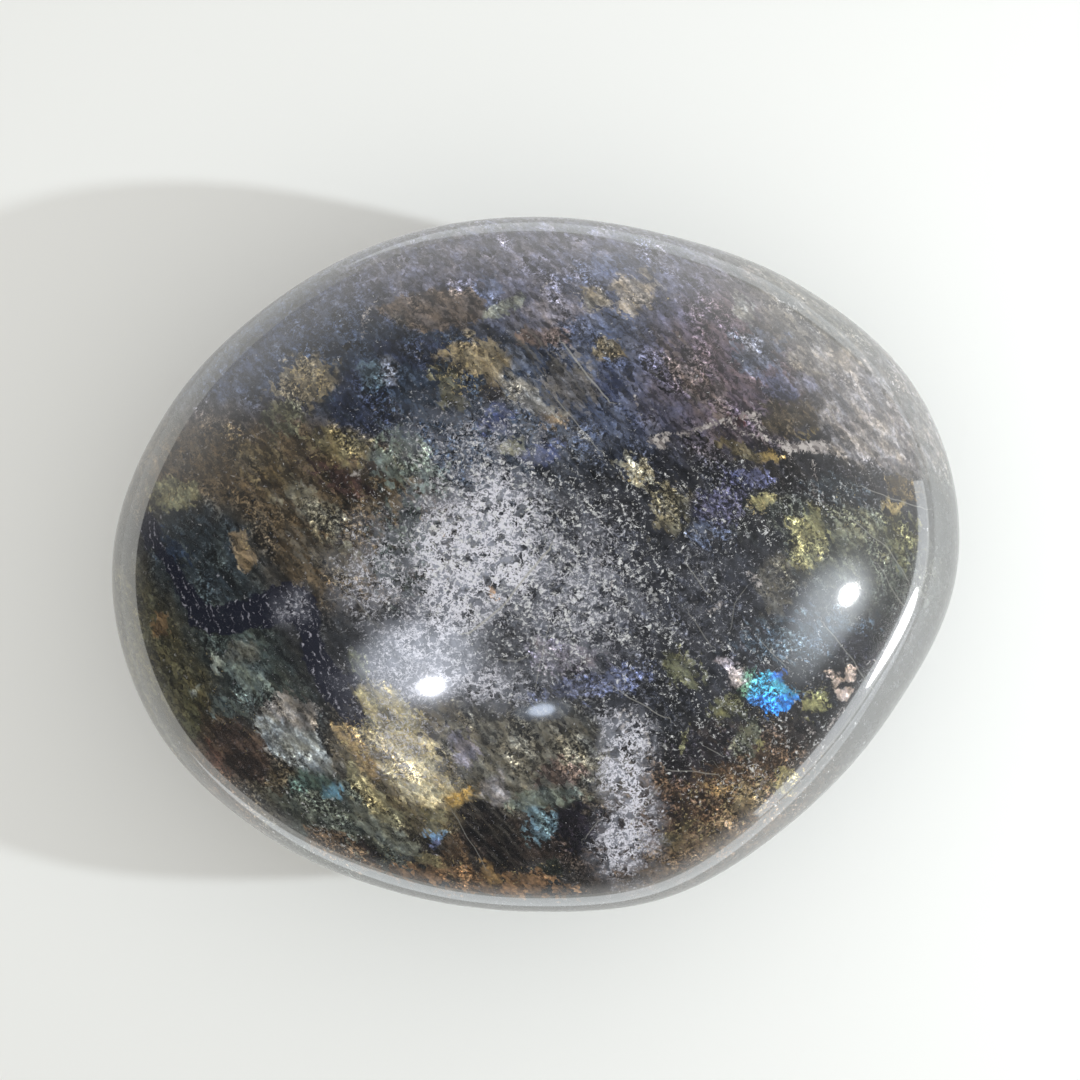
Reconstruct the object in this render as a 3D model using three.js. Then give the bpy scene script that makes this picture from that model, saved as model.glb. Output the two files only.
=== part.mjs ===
// A polished labradorite freeform: one oval pebble of feldspar, ground to a low dome over a deeper,
// rounded underside, polished all over, and cut flat below so that it stands still.
// Millimetres, +Z up, +X along the stone's length. The origin is on the surface that the stone
// rests on, under the middle of its outline.
import * as THREE from "three";
import { mergeVertices } from "three/addons/utils/BufferGeometryUtils.js";

// Driving dimensions
const CREST_HEIGHT = 32; // the dome's highest point above the base
// The radius of the stone's widest line, the girdle, every 22.5 degrees, anticlockwise from +X
const GIRDLE_RADII = [
  43.1, 42.8, 38.9, 35.4, 34.4, 35.1, 36.8, 39.8, 42.3, 41.3, 37.9, 35.1, 34.3, 35.7, 36.6, 39.2,
];
const DOME_RISE = 14; // mean height of the crest above the girdle
const RISE_TO_BLUNT_END = 1.4; // how much more the dome rises above the girdle at the +X end
const RISE_TO_BOTH_ENDS = 2.2; // how much more it rises at the two ends than at the two long sides
const BASE_CUT = 3.2; // how much of the rounded underside was ground away to make the flat base
const BASE_EDGE_ROUNDING = 1; // height of the soft edge between the flat base and the underside
const DOME_FULLNESS = 2.0; // exponent of the dome's section: 2 is an ellipse, more is fuller
const UNDERSIDE_FULLNESS = 2.3; // the same, below the girdle
const WAVE_HEIGHT = 0.16; // height of the broad, low waves that grinding by hand leaves on the dome
const WAVE_SPACING = { alongX: 56, alongY: 50 }; // from one of those waves to the next
const WAVE_SHIFT = { alongX: 5, alongY: -3 }; // where the waves start, from the stone's middle
const FACES_PER_SIDE = 24; // mesh squares along each side of the cube that is rounded into the stone

const TURN = 2 * Math.PI;
const MERGE_DISTANCE = 1e-4;

// The girdle's radius at an azimuth, on a closed cubic through the measured radii
function girdleRadius(azimuth) {
  const count = GIRDLE_RADII.length;
  const along = (((azimuth / TURN) % 1) + 1) * count;
  const first = Math.floor(along);
  const t = along - first;
  const [before, start, end, after] = [-1, 0, 1, 2].map((k) => GIRDLE_RADII[(first + k + count) % count]);
  const startSlope = (end - before) / 2;
  const endSlope = (after - start) / 2;
  const bend = 3 * (end - start) - 2 * startSlope - endSlope;
  const twist = 2 * (start - end) + startSlope + endSlope;
  return start + t * (startSlope + t * (bend + t * twist));
}

// How far the crest stands above the girdle at an azimuth: the girdle dips towards both ends
function domeRise(azimuth) {
  return DOME_RISE + RISE_TO_BLUNT_END * Math.cos(azimuth) + RISE_TO_BOTH_ENDS * Math.cos(2 * azimuth);
}

// The height of the grinding waves at a place on the dome
function grindingWave(x, y) {
  const phaseX = ((x + WAVE_SHIFT.alongX) / WAVE_SPACING.alongX) * TURN;
  const phaseY = ((y + WAVE_SHIFT.alongY) / WAVE_SPACING.alongY) * TURN;
  return WAVE_HEIGHT * Math.sin(phaseX) * Math.cos(phaseY);
}

// The larger of a height and zero, with a soft corner of the given height between the two
function levelledAtZero(height, corner) {
  const overlap = Math.max(corner - Math.abs(height), 0) / corner;
  return Math.max(height, 0) + (overlap * overlap * corner) / 4;
}

// The point of the stone's skin that lies in a direction from the middle of the girdle
function skinPoint(direction) {
  const azimuth = Math.atan2(direction.y, direction.x);
  const outwards = Math.hypot(direction.x, direction.y);
  const upwards = direction.z;
  const fullness = upwards > 0 ? DOME_FULLNESS : UNDERSIDE_FULLNESS;
  const norm = Math.pow(outwards, fullness) + Math.pow(Math.abs(upwards), fullness);
  const reach = Math.pow(norm, -1 / fullness);

  const rise = domeRise(azimuth);
  const girdleHeight = CREST_HEIGHT - rise;
  // Near the middle all azimuths share one height, so the dip of the girdle fades out there
  const dip = (girdleHeight - (CREST_HEIGHT - DOME_RISE)) * outwards * outwards;
  const middleHeight = CREST_HEIGHT - DOME_RISE + dip;
  const depth = upwards > 0 ? CREST_HEIGHT - middleHeight : middleHeight + BASE_CUT;

  const radius = girdleRadius(azimuth) * reach * outwards;
  const x = radius * Math.cos(azimuth);
  const y = radius * Math.sin(azimuth);
  const wave = grindingWave(x, y) * Math.max(upwards, 0);
  const z = middleHeight + depth * reach * upwards + wave;
  return new THREE.Vector3(x, y, levelledAtZero(z, BASE_EDGE_ROUNDING));
}

// A cube's surface rounded into a ball with even squares, then drawn out to the stone's skin
function stoneGeometry() {
  const cube = new THREE.BoxGeometry(2, 2, 2, FACES_PER_SIDE, FACES_PER_SIDE, FACES_PER_SIDE);
  cube.deleteAttribute("normal");
  cube.deleteAttribute("uv");
  const geometry = mergeVertices(cube, MERGE_DISTANCE);
  const position = geometry.attributes.position;
  const corner = new THREE.Vector3();
  for (let i = 0; i < position.count; i++) {
    corner.fromBufferAttribute(position, i);
    const evened = [corner.x, corner.y, corner.z].map((side) => Math.tan((side * Math.PI) / 4));
    const point = skinPoint(new THREE.Vector3(...evened).normalize());
    position.setXYZ(i, point.x, point.y, point.z);
  }
  geometry.computeBoundingBox();
  const middle = geometry.boundingBox.getCenter(new THREE.Vector3());
  geometry.translate(-middle.x, -middle.y, -geometry.boundingBox.min.z);
  geometry.computeVertexNormals();
  return geometry;
}

function labradoriteMaterial() {
  return new THREE.MeshStandardMaterial({ color: 0x3c3d3a, roughness: 0.15, metalness: 0 });
}

const freeform = new THREE.Group();
const stone = new THREE.Mesh(stoneGeometry(), labradoriteMaterial());
stone.name = "labradorite_stone";
freeform.add(stone);

export default freeform;
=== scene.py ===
# %% [markdown]
# # A polished labradorite freeform
# The object is one stone: a pebble of feldspar, ground to a low dome and polished like glass. All that
# the eye sees comes from three things, and each has its own step below: the skin's exact shape, which
# decides where the reflections fall; the mineral under the skin, with its patches, veins and flashes;
# and the light, which shows as a few small glints and a grey band along the rim.
#
# The stone is modelled in metres around the frame's origin. Sizes in this script are written in
# millimetres and turned to metres by one factor.

# %% Load the frame
import math

import bmesh
import bpy
import numpy as np
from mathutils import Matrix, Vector, noise
from mathutils.bvhtree import BVHTree


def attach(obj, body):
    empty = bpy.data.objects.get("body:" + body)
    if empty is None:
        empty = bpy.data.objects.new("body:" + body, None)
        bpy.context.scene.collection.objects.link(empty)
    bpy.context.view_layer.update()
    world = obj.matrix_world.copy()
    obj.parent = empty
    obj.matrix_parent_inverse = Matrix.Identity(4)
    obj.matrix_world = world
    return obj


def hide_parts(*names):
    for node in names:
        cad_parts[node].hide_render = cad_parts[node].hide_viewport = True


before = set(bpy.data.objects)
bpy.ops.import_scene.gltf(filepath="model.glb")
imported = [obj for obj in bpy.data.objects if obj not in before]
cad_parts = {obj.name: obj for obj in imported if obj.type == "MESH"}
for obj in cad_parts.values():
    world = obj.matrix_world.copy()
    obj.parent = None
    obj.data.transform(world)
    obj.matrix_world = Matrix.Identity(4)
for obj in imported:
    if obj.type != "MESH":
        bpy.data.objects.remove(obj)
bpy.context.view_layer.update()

MM = 0.001
print("the frame's nodes:", sorted(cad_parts))

# %% [markdown]
# ## Colours
# Colours are picked as sRGB hex values, as on any colour card. Blender's shaders work in linear light,
# so one function turns the one into the other.

# %% Turn a hex colour to linear light


def linear(hex_colour):
    """The linear RGBA value of an sRGB colour such as 'c8a060'."""
    channels = [int(hex_colour[i : i + 2], 16) / 255 for i in (0, 2, 4)]
    return (*[c / 12.92 if c <= 0.04045 else ((c + 0.055) / 1.055) ** 2.4 for c in channels], 1)


print("mid grey in linear light:", round(linear("808080")[0], 3))

# %% [markdown]
# ## The camera
# The stone was seen from straight above, from about 200 mm over its widest line, the girdle. At that
# height the frame is 108 mm wide, so places on the stone can be given as millimetres across and down
# from the frame's upper left corner. The camera comes first, because the sight line through such a
# place tells where a marking lies on the curved skin.

# %% Make the camera
GIRDLE_HEIGHT = 18
EYE_OVER_GIRDLE = 200
FRAME_WIDTH = 108
SENSOR_WIDTH = 36
EYE = Vector((0.15, 2.4, GIRDLE_HEIGHT + EYE_OVER_GIRDLE))

camera_data = bpy.data.cameras.new("camera")
camera_data.sensor_width = SENSOR_WIDTH
camera_data.lens = SENSOR_WIDTH * EYE_OVER_GIRDLE / FRAME_WIDTH
camera_data.clip_start = 10 * MM
camera = bpy.data.objects.new("camera", camera_data)
camera.location = EYE * MM
bpy.context.scene.collection.objects.link(camera)
bpy.context.scene.camera = camera
print("lens of", round(camera_data.lens, 1), "mm")

# %% [markdown]
# ## The stone's skin
# The frame holds the stone as flat facets about 2 mm wide. A lapidary's polish leaves no facet, so the
# mesh is copied, its loose triangles are sewn together and paired to squares, and two rounds of
# Catmull-Clark subdivision draw one smooth skin through them. Sculpting a new shape would give the same
# look but would drift from the frame's sizes; subdividing keeps them.

# %% Copy and smooth the skin
SEAM = 0.01 * MM
SMOOTHING_LEVELS = 2


def stone_skin():
    """The frame's stone as one smooth mesh."""
    shape = bmesh.new()
    shape.from_mesh(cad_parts["labradorite_stone"].data)
    bmesh.ops.remove_doubles(shape, verts=shape.verts, dist=SEAM)
    bmesh.ops.join_triangles(
        shape,
        faces=shape.faces,
        angle_face_threshold=math.radians(40),
        angle_shape_threshold=math.radians(40),
    )
    bmesh.ops.recalc_face_normals(shape, faces=shape.faces)
    mesh = bpy.data.meshes.new("polished_labradorite_stone")
    shape.to_mesh(mesh)
    shape.free()
    return mesh


stone = bpy.data.objects.new("polished_labradorite_stone", stone_skin())
bpy.context.scene.collection.objects.link(stone)
smoothing = stone.modifiers.new("smoothing", "SUBSURF")
smoothing.levels = SMOOTHING_LEVELS
smoothing.render_levels = SMOOTHING_LEVELS
evaluated = stone.evaluated_get(bpy.context.evaluated_depsgraph_get())
smooth_mesh = bpy.data.meshes.new_from_object(evaluated)
stone.modifiers.clear()
stone.data = smooth_mesh
stone.data.shade_smooth()
print("the skin has", len(stone.data.polygons), "squares")

# %% [markdown]
# ## From a place in the frame to a place on the stone
# The dome's crest is nearer to the camera than the girdle, so a marking there seems further from the
# middle than it is. Following the sight line down to the skin corrects that, and the same line,
# mirrored at the skin, tells where a lamp must hang for its glint to appear at a chosen place.

# %% Follow the sight lines
skin_tree = BVHTree.FromPolygons(
    [v.co / MM for v in stone.data.vertices],
    [list(p.vertices) for p in stone.data.polygons],
)
FRAME_CORNER = Vector((EYE.x - FRAME_WIDTH / 2, EYE.y + FRAME_WIDTH / 2, GIRDLE_HEIGHT))


def sight_line(across, down):
    """The direction from the eye to a place in the frame."""
    return (FRAME_CORNER + Vector((across, -down, 0)) - EYE).normalized()


def on_skin(across, down):
    """The point of the skin that is seen at a place in the frame, in mm, and the skin's normal there."""
    point, normal, _, _ = skin_tree.ray_cast(EYE, sight_line(across, down))
    return point, normal


def seen_at(across, down):
    """The point on the stone, in mm, of a marking seen at a place in the frame."""
    point, _ = on_skin(across, down)
    return Vector((point.x, point.y, 0))


crest, _ = on_skin(54, 54)
print("the dome is", round(crest.z, 1), "mm high under the camera")

# %% [markdown]
# ## The mineral's zones
# Labradorite is a plagioclase feldspar. It is translucent, so its zones lie at all depths and fade into
# each other: brown and olive, slate blue, smoky violet, pale cleavage planes. They are painted on the
# mesh's points as colour attributes, which is much quicker to render than hundreds of shader nodes. The
# points stand 0.5 mm apart, too coarse for a crisp edge. So the grounds are painted as soft colours, and
# the patches over them with a slope of cover, which the shader later cuts off along crystal faces.
#
# Places are millimetres across and down the frame, lengths are millimetres, and turns are degrees
# anticlockwise. Softness is the share of an oval's radius over which it fades.

# %% Name the grounds
GROUNDS = [
    # name, across, down, length, width, turn, softness, colour
    ("slate of the upper left", 33, 33, 36, 22, 25, 0.6, "3f475a"),
    ("violet-grey along the top", 56, 26, 46, 13, 0, 0.6, "61606e"),
    ("blue-black of the middle", 44, 40, 30, 16, -10, 0.5, "2b3543"),
    ("slate right of the crest", 64, 36, 18, 18, -30, 0.6, "4c556c"),
    ("smoky brown of the upper right", 73, 36, 16, 18, -40, 0.6, "554a51"),
    ("blue-black of the right", 69, 60, 32, 28, 0, 0.5, "25262b"),
    ("brown of the left end", 29, 50.5, 33, 18, -15, 0.25, "4d4231"),
    ("green-black by the zigzag", 21.5, 57, 16, 10, -50, 0.35, "2d3539"),
    ("olive rim of the left end", 17, 68, 24, 7, -65, 0.5, "4f4c36"),
    ("dark green under the zigzag", 25, 66, 14, 7, -40, 0.5, "373f3b"),
    ("brown under the grey crystals", 24.5, 77.5, 14, 8, -45, 0.4, "534438"),
    ("green-grey low rim", 33, 82, 16, 8, -30, 0.5, "51574f"),
    ("olive-grey by the key glint", 84, 55.5, 18, 9, -20, 0.5, "494c43"),
    ("dull gold of the golden zone", 42, 77, 18, 10, -47, 0.5, "6a5f45"),
    ("olive-grey of the lower middle", 53, 77, 20, 11, -10, 0.5, "68655a"),
    ("brown of the lower right", 70, 81, 24, 12, 25, 0.5, "4f3e2e"),
    ("black under the middle", 53, 84, 22, 7, 5, 0.4, "2b2420"),
    ("pale grey by the upper right rim", 85, 33, 36, 13, -50, 0.3, "5b5853"),
    ("grey-pink of the right", 88.5, 41, 15, 10, -30, 0.25, "686362"),
    ("black under the crust", 82, 48, 16, 5, -12, 0.3, "272628"),
]
print("the mineral has", len(GROUNDS), "grounds")

# %% [markdown]
# The patches are smaller islands on those grounds: brown veils, olive lenses, bright blue spots. Each
# could be painted by hand. Named ovals are used because one can be found again and moved by itself.

# %% Name the patches
PATCHES = [
    # name, across, down, length, width, turn, softness, colour
    ("long grey-brown veil", 31, 50.8, 10, 3.4, -47, 0.6, "6c6858"),
    ("second veil", 26.5, 46.5, 9, 3, -40, 0.6, "594e37"),
    ("third veil", 32.5, 56, 8, 2.4, -40, 0.6, "565044"),
    ("red-brown shade", 34, 47.5, 7, 2.4, -25, 0.6, "3f2e2a"),
    ("green-grey lens", 40.2, 46.2, 7, 5.5, -30, 0.5, "5c6660"),
    ("olive-gold patch over the lens", 34.7, 44.4, 6, 3.4, -20, 0.5, "6f6649"),
    ("gold-speckled patch", 30.7, 38.2, 7.4, 4.8, 25, 0.35, "736b59"),
    ("olive foot of the speckled patch", 28.6, 41.8, 3.8, 3.4, 0, 0.5, "5d5c48"),
    ("navy beside the patch", 36, 40.5, 7, 6, -60, 0.5, "272d3f"),
    ("teal sparkle", 37.3, 37.6, 2.4, 4.4, 0, 0.6, "4c5c66"),
    ("grey fuzz", 38.8, 36.4, 2.4, 3.4, 0, 0.6, "60646e"),
    ("blue shade of the left neck", 16.8, 55, 5, 2.6, -55, 0.5, "212e41"),
    ("green-grey left of the cloud", 40.5, 55, 6, 9, 0, 0.5, "313a37"),
    ("navy under the brown lens", 41.5, 35.4, 9, 3.4, -5, 0.4, "252b3c"),
    ("blue smudge over the lens", 48.8, 29.5, 2.4, 3.4, 0, 0.6, "586078"),
    ("blue smudge under the top rim", 59.7, 27.1, 5, 2.4, 20, 0.6, "525970"),
    ("pink-brown foot of the violet lens", 54.4, 33.4, 5, 2, 5, 0.5, "72635d"),
    ("grey striped patch", 57.2, 38.4, 6, 4.4, -50, 0.5, "636161"),
    ("deep blue patch", 49.6, 42.2, 3.4, 2.6, 20, 0.5, "363e5e"),
    ("bright blue patch", 54, 45.3, 3.2, 2.2, 10, 0.5, "485175"),
    ("navy by the crest", 60.5, 38, 4, 3.4, -50, 0.6, "2e3449"),
    ("olive-brown under the band", 54.9, 41.5, 2.8, 2.4, 0, 0.5, "6b5d49"),
    ("gold sparkle's ground", 60.6, 34.8, 3, 2.2, 0, 0.5, "756a52"),
    ("pale yellow crystals", 63.6, 47.2, 4, 2.4, -40, 0.45, "8c8877"),
    ("olive-gold right of the cloud", 66.9, 50.6, 4, 5, 0, 0.4, "5e5947"),
    ("smoky streak", 69.5, 38, 9, 3, -52, 0.6, "59504f"),
    ("olive-gold above the crust", 78.8, 41.6, 5, 2.6, -30, 0.5, "6a5e3f"),
    ("violet by the pale crust", 78, 38.8, 4, 2.6, -30, 0.5, "505267"),
    ("grey fuzz by the pale crust", 80.4, 38.2, 2.8, 1.8, -20, 0.6, "797682"),
    ("slate behind the pale crust", 76, 35, 5, 4, 0, 0.6, "545864"),
    ("violet-blue ground", 72, 50.5, 5, 5, 0, 0.6, "414052"),
    ("blue patch", 75.4, 47.7, 4.4, 2, 5, 0.5, "4a4d67"),
    ("slate-blue patch", 71, 53.4, 4, 3, 0, 0.6, "4d566b"),
    ("gold under the crust", 74, 44.8, 4, 1.6, -20, 0.5, "655c45"),
    ("gold bead under the crust", 77.2, 45.3, 1.6, 1.2, 0, 0.5, "917d4d"),
    ("olive-grey of the right", 86, 53.2, 7, 4, -15, 0.5, "636555"),
    ("olive of the right end", 90, 53.8, 4, 5, 20, 0.5, "58573e"),
    ("slate under the crust", 84.5, 49.4, 7, 2.6, -15, 0.5, "32373a"),
    ("black between the olives", 76, 54, 4, 5.4, 0, 0.5, "1f1f23"),
    ("brown-grey ground", 77.8, 58, 4, 7, 8, 0.5, "524f46"),
    ("blue-grey under the glint", 80, 63.6, 11, 4, 10, 0.6, "424f5a"),
    ("black under the glint", 85, 64.6, 7, 3, -30, 0.5, "22232a"),
    ("olive by the flash", 72.6, 70.6, 4.4, 2.8, 10, 0.5, "54543b"),
    ("lime grains by the flash", 72.4, 71, 1.8, 1.2, 0, 0.5, "837f4f"),
    ("black under the flash", 70, 75.2, 9, 5, 20, 0.5, "1f1e23"),
    ("olive triangle", 74.9, 73.7, 2.4, 4.6, -20, 0.4, "4e5043"),
    ("gold-brown rim of the lower right", 70, 84, 16, 3, 27, 0.4, "5f503e"),
    ("gold-brown speckled ground", 74.6, 80.4, 6, 3.4, 35, 0.5, "695c45"),
    ("olive-gold spot", 78.7, 77.9, 2.6, 2.6, 0, 0.4, "897e54"),
    ("orange grains", 71.9, 79, 1.8, 1.4, 0, 0.5, "937850"),
    ("dark brown heart", 67.6, 81, 6, 5, 20, 0.4, "3d3027"),
    ("olive heart of the brown", 68.6, 82.2, 3, 2, 20, 0.5, "4e4630"),
    ("olive foot of the brown", 67.4, 84.6, 3, 3, 0, 0.4, "5a523b"),
    ("brown tint of the lower middle", 56.6, 77.8, 5, 2.8, 0, 0.6, "594b44"),
    ("dark olive by the gold", 44, 76, 2.4, 3, 0, 0.5, "534f43"),
    ("gold specks of the left rim", 15.8, 62.4, 1.8, 2.4, 0, 0.5, "705a3d"),
    ("olive by the zigzag's foot", 35.8, 66.3, 2, 3.6, 15, 0.4, "6c6e57"),
    ("teal patch", 54, 82.4, 3.8, 3.8, 0, 0.5, "5c727a"),
    ("green wing of the teal patch", 54.4, 79.8, 7, 2, 5, 0.5, "666e65"),
    ("olive heart of the black", 49.7, 83, 2.6, 2.2, 0, 0.5, "4c4b32"),
    ("black right of the teal", 57.6, 83, 4, 5, 0, 0.4, "19161d"),
    ("rusty rim", 48, 88.2, 18, 2.8, -7, 0.35, "73593f"),
    ("rusty rim of the lower left", 34.6, 85, 8, 2.6, -22, 0.4, "5b4936"),
    ("dark green spot of the rim", 55, 87, 3, 2, 0, 0.4, "252923"),
    ("violet veil under the cloud", 56.6, 66, 6, 3, 0, 0.6, "6b656e"),
    ("blue-violet veil", 59, 68.6, 11, 2.2, 12, 0.6, "50566f"),
    ("olive of the middle right", 68.6, 67, 4.4, 3, -25, 0.4, "5b5b42"),
    ("brown ground of the right end", 90.4, 48.6, 4.4, 2.4, -30, 0.3, "4c412a"),
    ("gold leaf", 89.2, 50.5, 1.8, 1.2, 0, 0.4, "867853"),
    ("blue glint of the front", 43.5, 82.8, 2.6, 2.4, -45, 0.35, "8cb6de"),
    ("violet under the blue glint", 43.6, 84, 1.4, 2, 0, 0.6, "6d7392"),
    ("dull gold foot", 43.4, 86.4, 4, 1.6, -10, 0.5, "726b50"),
    ("dark hole of the streak", 62.7, 74.7, 1.5, 2.6, 0, 0.4, "23201e"),
]
print("and", len(PATCHES), "patches")

# %% [markdown]
# Where a crystal has straight cleavage faces, it is given by its corners instead, going round clockwise
# as seen in the frame.

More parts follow.
